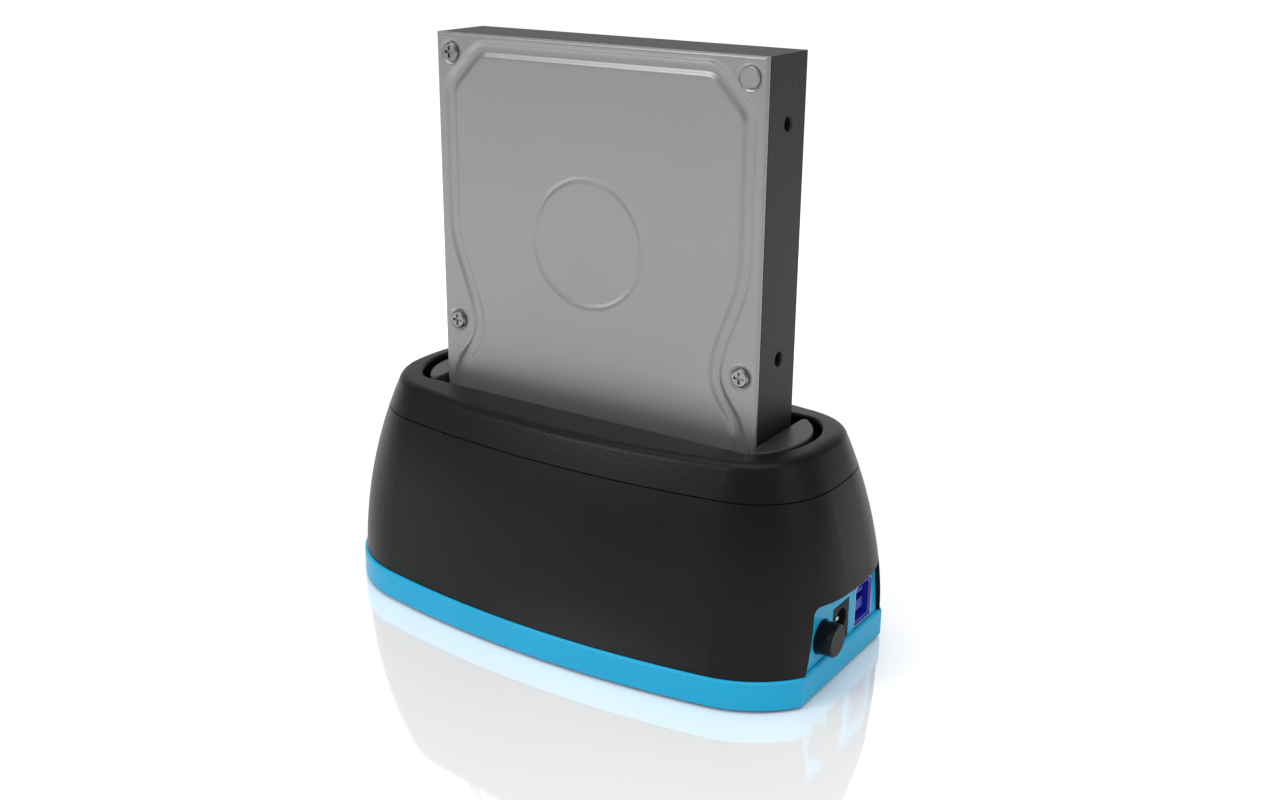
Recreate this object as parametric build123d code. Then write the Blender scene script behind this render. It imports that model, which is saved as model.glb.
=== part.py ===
from build123d import *
from math import atan2, cos, degrees, hypot, radians, sin, sqrt
import os

# A hard drive docking station with a slim 3.5-inch drive standing in its slot.
# Millimetres. X runs along the dock with the ports at +X, -Y is the front, +Z is up.
# The origin is on the surface that the dock stands on, below the middle of the slot.

# The docked drive
drive_width = 101.6
drive_length = 147.0
drive_thickness = 20.2
thickest_drive = 26.1
drive_seat_height = 11.7

# The body's outline and heights, measured from the underside of the tray
end_room = 29.40337
side_room = 25.00337
end_rim = 5.46
flange_height = 8.2
flange_step = 0.8
port_cut = 6.0
seam_drop = 9.5
body_height = 62.0
side_radius = 300.0
end_radius = 100.0
corner_share = 0.76
flank_radius = 138.0
flank_drop = 3.8
crown_radius = 243.0
crest_radius = 3.0
wall = 2.2
foot_stand = 0.5

# Clearances
fit = 0.2
slide_fit = 0.5
seam_gap = 0.3
overrun = 1.0

# Heights that several pieces share
tray_bottom = foot_stand
flange_top = tray_bottom + flange_height
roof = tray_bottom + body_height
seam = roof - seam_drop
drive_bottom = tray_bottom + drive_seat_height
drive_top = drive_bottom + drive_length


# How far the flank leans in at a height, an arc that is already turning at the flange
def lean(height):
    foot = sqrt(flank_radius ** 2 - flank_drop ** 2)
    return foot - sqrt(flank_radius ** 2 - (height - flange_top + flank_drop) ** 2)


# The oval grows with the drive and the room for the ports, and the slot ends a rim inside the roof
slot_half_width = thickest_drive - drive_thickness / 2 + slide_fit
flange_half_length = drive_width / 2 + end_room
flange_half_width = slot_half_width + side_room
slot_half_length = flange_half_length - lean(roof) - end_rim
shell_half_length = flange_half_length - flange_step
shell_half_width = flange_half_width - flange_step
port_end = flange_half_length - port_cut
corner_radius = flange_half_width * corner_share


# Basic solids

def block(x0, x1, y0, y1, z0, z1):
    return Pos((x0 + x1) / 2, (y0 + y1) / 2, (z0 + z1) / 2) * Box(x1 - x0, y1 - y0, z1 - z0)


def post(x, y, z0, z1, radius):
    return Pos(x, y, (z0 + z1) / 2) * Cylinder(radius, z1 - z0)


def four(x, y):
    return [(sx * x, sy * y) for sx in (-1, 1) for sy in (-1, 1)]


# The oval is eight arcs about fixed centres, so any inset only shortens their radii. Each arc
# is given as its centre, its radius, the angle where it starts and the angle it turns through.
def oval_arcs():
    end_x = shell_half_length - end_radius
    side_y = shell_half_width - side_radius
    corner_x, corner_y = corner_centre()
    low = degrees(atan2(corner_y, corner_x - end_x))
    high = degrees(atan2(corner_y - side_y, corner_x))
    arcs = []
    for turn, sign in ((0, 1), (180, -1)):
        arcs.append((sign * end_x, 0, end_radius, turn - low, 2 * low))
        arcs.append((sign * corner_x, sign * corner_y, corner_radius, turn + low, high - low))
        arcs.append((0, sign * side_y, side_radius, turn + high, 180 - 2 * high))
        arcs.append((-sign * corner_x, sign * corner_y, corner_radius, turn + 180 - high, high - low))
    return arcs


# The corner's centre lies where it is tangent to both wide arcs
def corner_centre():
    end_x = shell_half_length - end_radius
    side_y = shell_half_width - side_radius
    apart = hypot(end_x, side_y)
    to_side = side_radius - corner_radius
    to_end = end_radius - corner_radius
    along = (apart ** 2 + to_side ** 2 - to_end ** 2) / (2 * apart)
    off = sqrt(to_side ** 2 - along ** 2)
    return (along * end_x - off * side_y) / apart, side_y - (along * side_y + off * end_x) / apart


def oval_face(inset):
    edges = [CenterArc((x, y), radius - inset, start, turn) for x, y, radius, start, turn in oval_arcs()]
    return make_face(edges)


# The flank's outline is an arc through three heights, or on hidden inner faces two straight bands
def flank(bottom, top, inset, plain=False):
    heights = (bottom, (bottom + top) / 2, top)
    faces = [Pos(0, 0, height) * oval_face(inset + lean(height)) for height in (bottom, top)]
    for x, y, radius, start, turn in oval_arcs():
        angle = radians(start)
        reaches = [radius - inset - lean(height) for height in heights]
        points = [(x + reach * cos(angle), y + reach * sin(angle), height)
                  for reach, height in zip(reaches, heights)]
        edges = [Line(*points[:2]), Line(*points[1:])] if plain else [ThreePointArc(*points)]
        faces += [Face.revolve(edge, turn, Axis((x, y, 0), (0, 0, 1))) for edge in edges]
    return Solid(Shell(faces))


# Half the width of the flank where a plane across the dock at x cuts its corners
def flank_reach(x, height):
    corner_x, corner_y = corner_centre()
    return corner_y + sqrt((corner_radius - lean(height)) ** 2 - (x - corner_x) ** 2)


# The slot's rim: straight sides, ends on a wide arc about the half-moons' centre
slot_end_radius = 22.0
slot_corner_radius = 8.0
end_centre = slot_half_length - slot_end_radius


def slot_face(grow):
    ends = [Pos(side * end_centre, 0) * Circle(slot_end_radius + grow) for side in (-1, 1)]
    middle = Rectangle(2 * end_centre, 2 * (slot_end_radius + grow))
    band = Rectangle(2 * (slot_half_length + grow), 2 * (slot_half_width + grow))
    face = (ends[0] + middle + ends[1]) & band
    return fillet(face.vertices(), slot_corner_radius + grow)


# Screws: a bevelled head below z = 0 with a cross recess, and a plain shank above it
def screw(head_radius, head_height, shank_radius, shank_length):
    head = Pos(0, 0, -head_height / 2) * Cylinder(head_radius, head_height)
    head = chamfer(head.edges().group_by(Axis.Z)[0], head_height * head_bevel_share)
    shank = Pos(0, 0, shank_length / 2) * Cylinder(shank_radius, shank_length)
    arm = head_radius * cross_length_share
    slit = head_radius * cross_width_share
    depth = head_height * cross_depth_share
    cross = Box(2 * arm, slit, 2 * depth) + Box(slit, 2 * arm, 2 * depth)
    return head + shank - Pos(0, 0, -head_height) * cross


head_bevel_share = 0.4
cross_length_share = 0.62
cross_width_share = 0.30
cross_depth_share = 0.55

# Base tray: floor, flange, end panel with the port cut-outs, bosses, ribs and feet recesses
floor_thickness = 2.4
flange_wall = 3.4
flange_chamfer = 0.5
locating_lip_height = 2.6
locating_lip_wall = 1.2
lip_stop = 20.0
panel_recess = 1.0
panel_thickness = 1.8
hood_height = 26.0
opening_corner = 2.5
base_screw_end = 20.2
base_screw_side = 16.5
base_boss_radius = 4.2
base_boss_height = 5.0
base_head_radius = 2.7
base_head_height = 1.8
base_shank_radius = 1.3
base_shank_length = 9.0
base_head_depth = 3.0
foot_end = 38.2
foot_side = 13.5
foot_radius = 5.0
foot_recess = 1.4
foot_bevel = 0.3
pillar_radius = 2.5
pillar_x = 36.0
pillar_y = 11.0
rib_thickness = 1.4
rib_height = 2.4

base_screw_x = flange_half_length - base_screw_end
base_screw_y = flange_half_width - base_screw_side
foot_x = flange_half_length - foot_end
foot_y = flange_half_width - foot_side
floor_top = tray_bottom + floor_thickness
hood = tray_bottom + hood_height
panel_face = port_end - panel_recess
panel_back = panel_face - panel_thickness

# Main board
board_thickness = 1.6
board_gap = 4.6
board_left = -14.0
board_shoulder = 51.0
board_side_gap = 10.5
board_neck_half_width = 20.6
board_end_gap = 0.6
board_corner = 2.0
board_screw_left = -9.5
board_screw_right = 46.0
board_screw_edge = 4.0
board_boss_radius = 3.2
board_head_radius = 2.4
board_head_height = 1.5
board_shank_radius = 1.1
board_shank_length = 5.5

board_half_width = flange_half_width - board_side_gap
board_screw_y = board_half_width - board_screw_edge
board_bottom = floor_top + board_gap
board_top = board_bottom + board_thickness
board_end = port_end - flange_wall - board_end_gap

# Power jack
jack_y = -0.9
jack_width = 9.2
jack_height = 11.0
jack_length = 14.2
jack_axis_height = 6.4
jack_bore = 3.15
jack_bore_depth = 9.5
jack_pin_radius = 1.0
jack_pin_recess = 0.8
jack_step = 1.0
jack_nose = 3.4
jack_spring_width = 2.2
jack_spring_thickness = 0.4

jack_axis = board_top + jack_axis_height

# USB 3.0 type B socket
usb_y = 12.7
usb_width = 10.4
usb_height = 12.4
usb_length = 16.0
usb_shield_wall = 0.35
usb_liner_wall = 0.9
usb_cavity_depth = 9.0
usb_corner = 1.2
usb_tongue_width = 5.0
usb_tongue_height = 3.0
usb_tongue_length = 7.6
usb_tongue_rise = 3.2
usb_bar_width = 4.4
usb_bar_height = 1.1
usb_bar_rise = 8.3
usb_contact_width = 0.7
usb_contact_thickness = 0.15
usb_contact_pitch = 1.9
usb_fast_pitch = 0.85
usb_fast_count = 5
usb_fast_width = 0.4

# Push switch and its round button
button_y = -11.9
button_axis_height = 6.3
button_radius = 4.4
button_stand_out = 4.7
button_length = 10.2
button_chamfer = 0.4
button_travel = 1.6
button_hole_gap = 0.3
sleeve_wall = 1.0
sleeve_end = 0.6
socket_half = 1.6
socket_depth = 5.0
stem_half = 1.5
switch_half = 4.3
switch_length = 11.6
switch_front_gap = 1.2
switch_bore_gap = 0.15
switch_bore_depth = 7.5
terminal_width = 0.6
terminal_thickness = 0.3
terminal_length = 2.6
terminal_pitch = 4.0
terminal_rows = 3

button_axis = board_top + button_axis_height
button_tip = panel_face + button_stand_out
button_back = button_tip - button_length
switch_face = button_back - button_travel - switch_front_gap
switch_back = switch_face - switch_length


# The opening in the port end, cut square through the flank, narrowing as the flank leans in
def opening_face(shrink):
    foot = flank_reach(port_end, flange_top) - shrink
    head = flank_reach(port_end, hood) - shrink
    low = flange_top - overrun
    corners = [(-foot, low), (-foot, flange_top), (-head, hood - shrink), (head, hood - shrink),
               (foot, flange_top), (foot, low)]
    face = make_face(Polyline(*corners, close=True))
    top_corners = face.vertices().group_by(Axis.Y)[-1]
    return fillet(top_corners, opening_corner)


# A face drawn in Y and Z, stood across the dock at x and pushed along +X
def across(face, x, length):
    plane = Plane(origin=(x, 0, 0), x_dir=(0, 1, 0), z_dir=(1, 0, 0))
    return extrude(plane * face, length)


def flat_ended_oval(inset, bottom, top):
    face = oval_face(inset - flange_step)
    solid = Pos(0, 0, bottom) * extrude(face, top - bottom)
    reach = flange_half_length + overrun
    return solid & block(-reach, port_end - inset, -reach, reach, bottom - overrun, top + overrun)


def end_panel():
    panel = across(opening_face(fit), panel_back, panel_thickness)
    jack_hole = block(panel_back - overrun, panel_face + overrun,
                      jack_y - jack_width / 2 - fit, jack_y + jack_width / 2 + fit,
                      flange_top, board_top + jack_height + fit)
    usb_hole = block(panel_back - overrun, panel_face + overrun,
                     usb_y - usb_width / 2 - fit, usb_y + usb_width / 2 + fit,
                     flange_top, board_top + usb_height + fit)
    hole = Circle(button_radius + button_hole_gap)
    button_hole = across(Pos(button_y, button_axis) * hole, panel_back - overrun,
                         panel_thickness + 2 * overrun)
    return panel - jack_hole - usb_hole - button_hole


# The sleeve behind the panel that guides the button, with a holed end at the switch's face
def button_sleeve():
    place = Pos(button_y, button_axis)
    bore = place * Circle(button_radius + button_hole_gap)
    rim = place * Circle(button_radius + button_hole_gap + sleeve_wall) - bore
    end = bore - place * Circle(hypot(stem_half, stem_half) + fit)
    start = switch_face + fit
    return across(rim, start, panel_face - start) + across(end, start, sleeve_end)


def base_tray():
    tray = flat_ended_oval(0, tray_bottom, flange_top)
    edges = tray.edges()
    tray = chamfer(edges.group_by(Axis.Z)[0] + edges.group_by(Axis.Z)[-1], flange_chamfer)
    tray -= flat_ended_oval(flange_wall, floor_top, flange_top + overrun)
    lip_in = flange_step + wall + fit
    lip_top = flange_top + locating_lip_height
    middle = (flange_top + seam) / 2
    lip_lean = lean(middle) * (lip_top - flange_top + overrun) / (middle - flange_top)
    lip_outside = flat_ended_oval(lip_in, floor_top, flange_top)
    lip_outside += flat_ended_oval(lip_in + lip_lean, floor_top, lip_top)
    lip_inside = flat_ended_oval(lip_in + lip_lean + locating_lip_wall, floor_top, lip_top + overrun)
    end_clear = port_end - flange_wall - locating_lip_wall
    reach = flange_half_length
    lip = (lip_outside - lip_inside) & block(-reach, end_clear - lip_stop, -reach, reach, 0, lip_top)
    tray += lip
    tray += end_panel()
    for x, y in four(base_screw_x, base_screw_y):
        tray += post(x, y, floor_top, tray_bottom + base_boss_height, base_boss_radius)
        tray -= post(x, y, tray_bottom - overrun, tray_bottom + base_boss_height + overrun,
                     base_shank_radius + fit)
        tray -= post(x, y, tray_bottom - overrun, tray_bottom + base_head_depth, base_head_radius + fit)
    for x in (board_screw_left, board_screw_right):
        for y in (-board_screw_y, board_screw_y):
            boss = post(x, y, floor_top, board_bottom, board_boss_radius)
            tray += boss - post(x, y, floor_top, board_bottom + overrun, board_shank_radius + fit / 2)
    for x, y in ((-pillar_x, -pillar_y), (-pillar_x, pillar_y)):
        tray += post(x, y, floor_top, bay_floor_bottom, pillar_radius)
        tray += block(x - rib_thickness / 2, x + rib_thickness / 2, y - board_half_width / 2,
                      y + board_half_width / 2, floor_top, floor_top + rib_height)
    for x, y in four(foot_x, foot_y):
        tray -= post(x, y, tray_bottom - overrun, tray_bottom + foot_recess, foot_radius + fit / 2)
    return tray + button_sleeve()


def rubber_feet():
    foot = Pos(0, 0, (foot_stand + foot_recess) / 2) * Cylinder(foot_radius, foot_stand + foot_recess)
    foot = chamfer(foot.edges().group_by(Axis.Z)[0], foot_bevel)
    return [Pos(x, y, 0) * foot for x, y in four(foot_x, foot_y)]


# Drive bay: a well that the drive stands in, the plate it hangs from, and the half-moons
bay_wall = 1.8
bay_floor_thickness = 1.5
bay_plate_thickness = 2.0
bay_plate_drop = 1.2
bay_plate_edge = 3.4
bay_seat_gap = 0.2
moon_gap = 2.2
moon_drop = 0.3
moon_corner = 1.2
moon_rounding = 0.6
guide_count = 5
guide_thickness = 1.6
guide_drop = 5.8
guide_gap = 0.4
pad_radius = 2.0
pad_places = ((-4.0, -9.0), (44.0, -9.0), (44.0, 8.5))
ear_x = 38.0
ear_y = 22.5
ear_radius = 3.8
lug_thickness = 2.6
lip_depth = 3.0
lip_wall = 1.2
lip_rebate = 1.0
lip_root = 1.6
collar_wall = 1.6
rim_rounding = 0.9
roof_thickness = 2.6
bay_head_radius = 2.6
bay_head_height = 1.7
bay_shank_radius = 1.2
bay_shank_length = 10.0

bay_plate_top = seam - bay_plate_drop
bay_plate_bottom = bay_plate_top - bay_plate_thickness
bay_floor_top = drive_bottom - bay_seat_gap
bay_floor_bottom = bay_floor_top - bay_floor_thickness
well_half_length = drive_width / 2 + slide_fit
well_half_width = slot_half_width
lug_top = bay_plate_bottom
lug_bottom = lug_top - lug_thickness


def half_moon():
    radius = slot_end_radius - moon_gap
    face = Pos(end_centre, 0) * Circle(radius) - Rectangle(2 * well_half_length, 2 * slot_end_radius)
    face = fillet(face.vertices(), moon_corner)
    moon = Pos(0, 0, bay_plate_top) * extrude(face, roof - moon_drop - bay_plate_top)
    return fillet(moon.edges().group_by(Axis.Z)[-1], moon_rounding)


def drive_bay():
    plate = Pos(0, 0, bay_plate_bottom) * extrude(slot_face(bay_plate_edge), bay_plate_thickness)
    for x, y in four(ear_x, ear_y):
        plate += post(x, y, bay_plate_bottom, bay_plate_top, ear_radius)
    outside = block(-well_half_length - bay_wall, well_half_length + bay_wall,
                    -well_half_width - bay_wall, well_half_width + bay_wall,
                    bay_floor_bottom, bay_plate_top)
    outside = fillet(outside.edges().filter_by(Axis.Z), bay_wall)
    inside = block(-well_half_length, well_half_length, -well_half_width, well_half_width,
                   bay_floor_top, bay_plate_top + overrun)
    bay = plate + outside - inside
    moon = half_moon()
    bay = bay + moon + Rot(0, 0, 180) * moon
    guide_face = drive_thickness / 2 + guide_gap
    for place in range(guide_count):
        x = (place - (guide_count - 1) / 2) * drive_width / guide_count
        guide = block(x - guide_thickness / 2, x + guide_thickness / 2, guide_face,
                      well_half_width + bay_wall / 2, bay_floor_bottom, bay_plate_top - guide_drop)
        lead_in = guide.edges().filter_by(Axis.X).group_by(Axis.Z)[-1].group_by(Axis.Y)[0]
        bay += chamfer(lead_in, (well_half_width - guide_face) / 2)
    for x, y in pad_places:
        bay += post(x, y, board_top, bay_floor_bottom, pad_radius)
    for x, y in four(ear_x, ear_y):
        bay -= post(x, y, bay_plate_bottom - overrun, bay_plate_top + overrun, bay_shank_radius + fit)
    return bay - receptacle_room()


# Lower shell: leaning wall, the opening and hood at the port end, posts and lugs
post_radius = 3.6
post_drop = 19.0
post_rib = 1.4

post_top = seam - post_drop


def lower_shell():
    outside = flank(flange_top, seam - seam_gap / 2, 0)
    rebate = flank(seam - lip_depth, seam + overrun, wall - lip_rebate, plain=True)
    shell = outside - [flank(flange_top - overrun, seam + overrun, wall, plain=True), rebate]
    foot = tray_bottom + base_boss_height
    carried = []
    feet = []
    holes = []
    for x, y in four(base_screw_x, base_screw_y):
        toward = shell_half_width if y > 0 else -shell_half_width
        rib_foot = flange_top + locating_lip_height + fit
        carried.append(post(x, y, flange_top, post_top, post_radius))
        carried.append(block(x - post_rib / 2, x + post_rib / 2, min(y, toward), max(y, toward),
                             rib_foot, post_top))
        feet.append(post(x, y, foot, flange_top, post_radius))
        holes.append(post(x, y, foot - overrun, foot + base_shank_length, base_shank_radius + fit / 2))
    for x, y in four(ear_x, ear_y):
        toward = shell_half_width if y > 0 else -shell_half_width
        carried.append(block(x - ear_radius, x + ear_radius, min(y, toward), max(y, toward),
                             lug_bottom, lug_top))
        carried.append(post(x, y, lug_bottom, lug_top, ear_radius))
        holes.append(post(x, y, lug_bottom - overrun, lug_top + overrun, bay_shank_radius + fit))
    within = flank(flange_top, seam, wall / 2, plain=True)
    inside = [piece & within for piece in carried]
    opening = across(opening_face(0), base_screw_x + post_radius, flange_half_length)
    return shell + inside + feet - (holes + [opening])


# Top cover: flank above the seam, crowned roof with a soft crest, the slot's rim and collar
def top_cover():
    cover = flank(seam + seam_gap / 2, roof + overrun, 0)
    crown_top = roof + slot_half_width ** 2 / (2 * crown_radius)
    crown_length = 2 * flange_half_length
    crown = Pos(0, 0, crown_top - crown_radius) * Rot(0, 90, 0) * Cylinder(crown_radius, crown_length)
    cover = cover & crown
    crest = [edge for edge in cover.edges() if edge.center().Z > roof - crest_radius]
    cover = fillet(crest, crest_radius)
    cover -= flank(seam - overrun, roof - roof_thickness, wall, plain=True)
    lip_in = wall - lip_rebate + fit / 2
    lip = flank(seam - lip_depth, seam + lip_root, lip_in, plain=True)
    cover += lip - flank(seam - lip_depth - overrun, seam + lip_root + overrun, lip_in + lip_wall, plain=True)
    collar_height = roof - roof_thickness / 2 - bay_plate_top
    cover += Pos(0, 0, bay_plate_top) * extrude(slot_face(collar_wall), collar_height)
    cover -= Pos(0, 0, bay_plate_top - overrun) * extrude(slot_face(0), body_height)
    for x, y in four(ear_x, ear_y):
        boss = post(x, y, bay_plate_top, roof - roof_thickness + fit, ear_radius)
        pilot = post(x, y, bay_plate_top - overrun, lug_bottom + bay_shank_length + fit,
                     bay_shank_radius + fit / 2)
        cover += boss
        cover -= pilot
    rim = [edge for edge in cover.edges() if on_rim(edge)]
    return fillet(rim, rim_rounding)


# True for an edge of the slot's outline on the crowned roof
def on_rim(edge):
    middle = edge.center()
    high = middle.Z > roof - crest_radius / 2
    near = abs(middle.Y) < slot_half_width + wall and abs(middle.X) < slot_half_length + fit
    return high and near


# The connector between dock and drive: two L-shaped blades in two L-shaped slots
connector_x = 20.68
connector_depth = 3.5
blade_thickness = 1.23
signal_length = 9.9
power_length = 20.6
blade_gap = 2.4
blade_recess = 0.8
blade_root = 5.6
key_length = 1.3
key_reach = 1.8
slot_play = 0.15
receptacle_half_length = 18.3
receptacle_front = 3.0
receptacle_back = 1.7
receptacle_rise = 5.2
receptacle_corner = 0.8
contact_pitch = 1.27
signal_contacts = 7
power_contacts = 15
contact_width = 0.6
contact_thickness = 0.2
contact_length = 3.4
finger_thickness = 0.25
finger_gap = 0.1
plug_half_length = 20.9
plug_arm = 2.2
plug_roof = 3.0

connector_y = drive_thickness / 2 - connector_depth
blades_length = signal_length + blade_gap + power_length
blade_tip = drive_bottom + blade_recess
blade_top = drive_bottom + blade_root
receptacle_top = drive_bottom + receptacle_rise


def receptacle_room():
    return block(connector_x - receptacle_half_length - fit, connector_x + receptacle_half_length + fit,
                 connector_y - receptacle_front - fit, connector_y + receptacle_back + fit,
                 board_top, drive_bottom + overrun)


# The outline of both blades, grown by play on every side; the keys point to the front
def blade_faces(play):
    left = connector_x - blades_length / 2
    faces = []
    for start, length, key_at_end in ((left, signal_length, True),
                                      (left + signal_length + blade_gap, power_length, False)):
        bar = Pos(start + length / 2, connector_y) * Rectangle(length + 2 * play, blade_thickness + 2 * play)
        key_x = start + length - key_length / 2 if key_at_end else start + key_length / 2
        key_y = connector_y - (key_reach + blade_thickness / 2) / 2
        key = Rectangle(key_length + 2 * play, key_reach + blade_thickness + 2 * play)
        faces.append(bar + Pos(key_x, key_y) * key)
    return faces


# Places of the 7 signal and 15 power contacts along the connector
def contact_places():
    left = connector_x - blades_length / 2
    signal_middle = left + signal_length / 2 - key_length / 2
    power_middle = left + signal_length + blade_gap + power_length / 2 + key_length / 2
    places = []
    for middle, count in ((signal_middle, signal_contacts), (power_middle, power_contacts)):
        for step in range(count):
            places.append(middle + (step - (count - 1) / 2) * contact_pitch)
    return places


def sata_receptacle():
    x0 = connector_x - receptacle_half_length
    x1 = connector_x + receptacle_half_length
    y0 = connector_y - receptacle_front
    y1 = connector_y + receptacle_back
    body = block(x0, x1, y0, y1, board_top, receptacle_top)
    body = chamfer(body.edges().group_by(Axis.Z)[-1], receptacle_corner / 2)
    slot_bottom = blade_tip - slide_fit
    for face in blade_faces(slot_play):
        body -= Pos(0, 0, slot_bottom) * extrude(face, receptacle_rise)
    groove_back = connector_y + blade_thickness / 2 + slot_play
    for x in contact_places():
        body -= block(x - contact_width / 2 - slot_play / 2, x + contact_width / 2 + slot_play / 2,
                      groove_back - slot_play, groove_back + finger_gap + finger_thickness,
                      slot_bottom, receptacle_top - receptacle_corner)
        body -= block(x - contact_width / 2 - slot_play / 2, x + contact_width / 2 + slot_play / 2,
                      groove_back + finger_gap, groove_back + finger_gap + finger_thickness,
                      board_top - overrun, slot_bottom)
    return body


def sata_contacts():
    slot_bottom = blade_tip - slide_fit
    y0 = connector_y + blade_thickness / 2 + slot_play + finger_gap
    contacts = []
    for x in contact_places():
        contacts.append(block(x - contact_width / 2, x + contact_width / 2, y0, y0 + finger_thickness,
                              board_top, slot_bottom + contact_length))
    return contacts


# Dock electronics
def main_board():
    outline = Polyline((board_left, -board_half_width), (board_shoulder, -board_half_width),
                       (board_shoulder, -board_neck_half_width), (board_end, -board_neck_half_width),
                       (board_end, board_neck_half_width), (board_shoulder, board_neck_half_width),
                       (board_shoulder, board_half_width), (board_left, board_half_width), close=True)
    face = make_face(outline)
    face = fillet(face.vertices().group_by(Axis.X)[0] + face.vertices().group_by(Axis.X)[-1], board_corner)
    board = Pos(0, 0, board_bottom) * extrude(face, board_thickness)
    for x in (board_screw_left, board_screw_right):
        for y in (-board_screw_y, board_screw_y):
            board -= post(x, y, board_bottom - overrun, board_top + overrun, board_shank_radius + fit)
    return board


def dc_jack_body():
    x0 = panel_face - jack_length
    y0 = jack_y - jack_width / 2
    y1 = jack_y + jack_width / 2
    body = block(x0, panel_face, y0, y1, board_top, board_top + jack_height)
    body -= block(x0 - overrun, panel_face - jack_nose, y0 - overrun, y1 + overrun,
                  board_top + jack_height - jack_step, board_top + jack_height + overrun)
    bore = Pos(jack_y, jack_axis) * Circle(jack_bore)
    body -= across(bore, panel_face - jack_bore_depth, jack_bore_depth + overrun)
    pin_hole = Pos(jack_y, jack_axis) * Circle(jack_pin_radius)
    body -= across(pin_hole, x0 - overrun, jack_length)
    spring_z = jack_axis - jack_bore - jack_spring_thickness
    body -= block(panel_face - jack_bore_depth, panel_face - jack_nose,
                  jack_y - jack_spring_width / 2 - fit / 2, jack_y + jack_spring_width / 2 + fit / 2,
                  spring_z, jack_axis)
    return body


def dc_jack_pin():
    pin = Pos(jack_y, jack_axis) * Circle(jack_pin_radius)
    solid = across(pin, panel_face - jack_length, jack_length - jack_pin_recess)
    return chamfer(solid.edges().group_by(Axis.X)[-1], jack_pin_radius / 2)


def dc_jack_spring():
    spring_z = jack_axis - jack_bore - jack_spring_thickness
    return block(panel_face - jack_bore_depth, panel_face - jack_nose - fit,
                 jack_y - jack_spring_width / 2, jack_y + jack_spring_width / 2,
                 spring_z, spring_z + jack_spring_thickness)


# The socket's outline, its two upper corners cut off
def usb_face(inset):
    half = usb_width / 2 - inset
    face = Pos(usb_y, board_top + usb_height / 2) * Rectangle(2 * half, usb_height - 2 * inset)
    return chamfer(face.vertices().group_by(Axis.Y)[-1], usb_corner)


def usb_shield():
    x0 = panel_face - usb_length
    box = across(usb_face(0), x0, usb_length)
    return box - across(usb_face(usb_shield_wall), x0 + usb_shield_wall, usb_length)


def usb_insulator():
    x0 = panel_face - usb_length + usb_shield_wall
    inner = usb_face(usb_shield_wall)
    body = across(inner, x0, usb_length - usb_shield_wall - usb_shield_wall)
    room_start = panel_face - usb_cavity_depth
    body -= across(usb_face(usb_shield_wall + usb_liner_wall), room_start, usb_cavity_depth)
    floor_z = board_top
    tongue = block(room_start, room_start + usb_tongue_length, usb_y - usb_tongue_width / 2,
                   usb_y + usb_tongue_width / 2, floor_z + usb_tongue_rise,
                   floor_z + usb_tongue_rise + usb_tongue_height)
    bar = block(room_start, room_start + usb_tongue_length, usb_y - usb_bar_width / 2,
                usb_y + usb_bar_width / 2, floor_z + usb_bar_rise, floor_z + usb_bar_rise + usb_bar_height)
    return body + tongue + bar


def usb_contacts():
    x0 = panel_face - usb_cavity_depth
    x1 = x0 + usb_tongue_length - usb_contact_width
    contacts = []
    low = board_top + usb_tongue_rise
    high = low + usb_tongue_height
    for side in (-1, 1):
        y = usb_y + side * usb_contact_pitch / 2
        contacts.append(block(x0, x1, y - usb_contact_width / 2, y + usb_contact_width / 2,
                              high, high + usb_contact_thickness))
        contacts.append(block(x0, x1, y - usb_contact_width / 2, y + usb_contact_width / 2,
                              low - usb_contact_thickness, low))
    bar_low = board_top + usb_bar_rise
    for place in range(usb_fast_count):
        y = usb_y + (place - (usb_fast_count - 1) / 2) * usb_fast_pitch
        contacts.append(block(x0, x1, y - usb_fast_width / 2, y + usb_fast_width / 2,
                              bar_low - usb_contact_thickness, bar_low))
    return contacts


def power_button():
    disc = Pos(button_y, button_axis) * Circle(button_radius)
    button = across(disc, button_back, button_length)
    button = chamfer(button.edges().group_by(Axis.X)[-1], button_chamfer)
    socket = Pos(button_y, button_axis) * Rectangle(2 * socket_half, 2 * socket_half)
    return button - across(socket, button_back - overrun, socket_depth + overrun)


def button_stem():
    stem = Pos(button_y, button_axis) * Rectangle(2 * stem_half, 2 * stem_half)
    end = button_back + socket_depth - fit
    start = switch_face - switch_bore_depth + button_travel + fit
    return across(stem, start, end - start)


def switch_body():
    y0 = button_y - switch_half
    y1 = button_y + switch_half
    body = block(switch_back, switch_face, y0, y1, board_top, button_axis + switch_half)
    body = fillet(body.edges().filter_by(Axis.X).group_by(Axis.Z)[-1], switch_front_gap)
    bore_half = stem_half + switch_bore_gap
    bore = Pos(button_y, button_axis) * Rectangle(2 * bore_half, 2 * bore_half)
    return body - across(bore, switch_face - switch_bore_depth, switch_bore_depth + overrun)


def switch_terminals():
    terminals = []
    for row in range(terminal_rows):
        x = (switch_back + switch_face) / 2 + (row - 1) * terminal_pitch
        for side in (-1, 1):
            y = button_y + side * (switch_half + terminal_thickness / 2)
            terminals.append(block(x - terminal_width / 2, x + terminal_width / 2,
                                   y - terminal_thickness / 2, y + terminal_thickness / 2,
                                   board_top, board_top + terminal_length))
    return terminals


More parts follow.
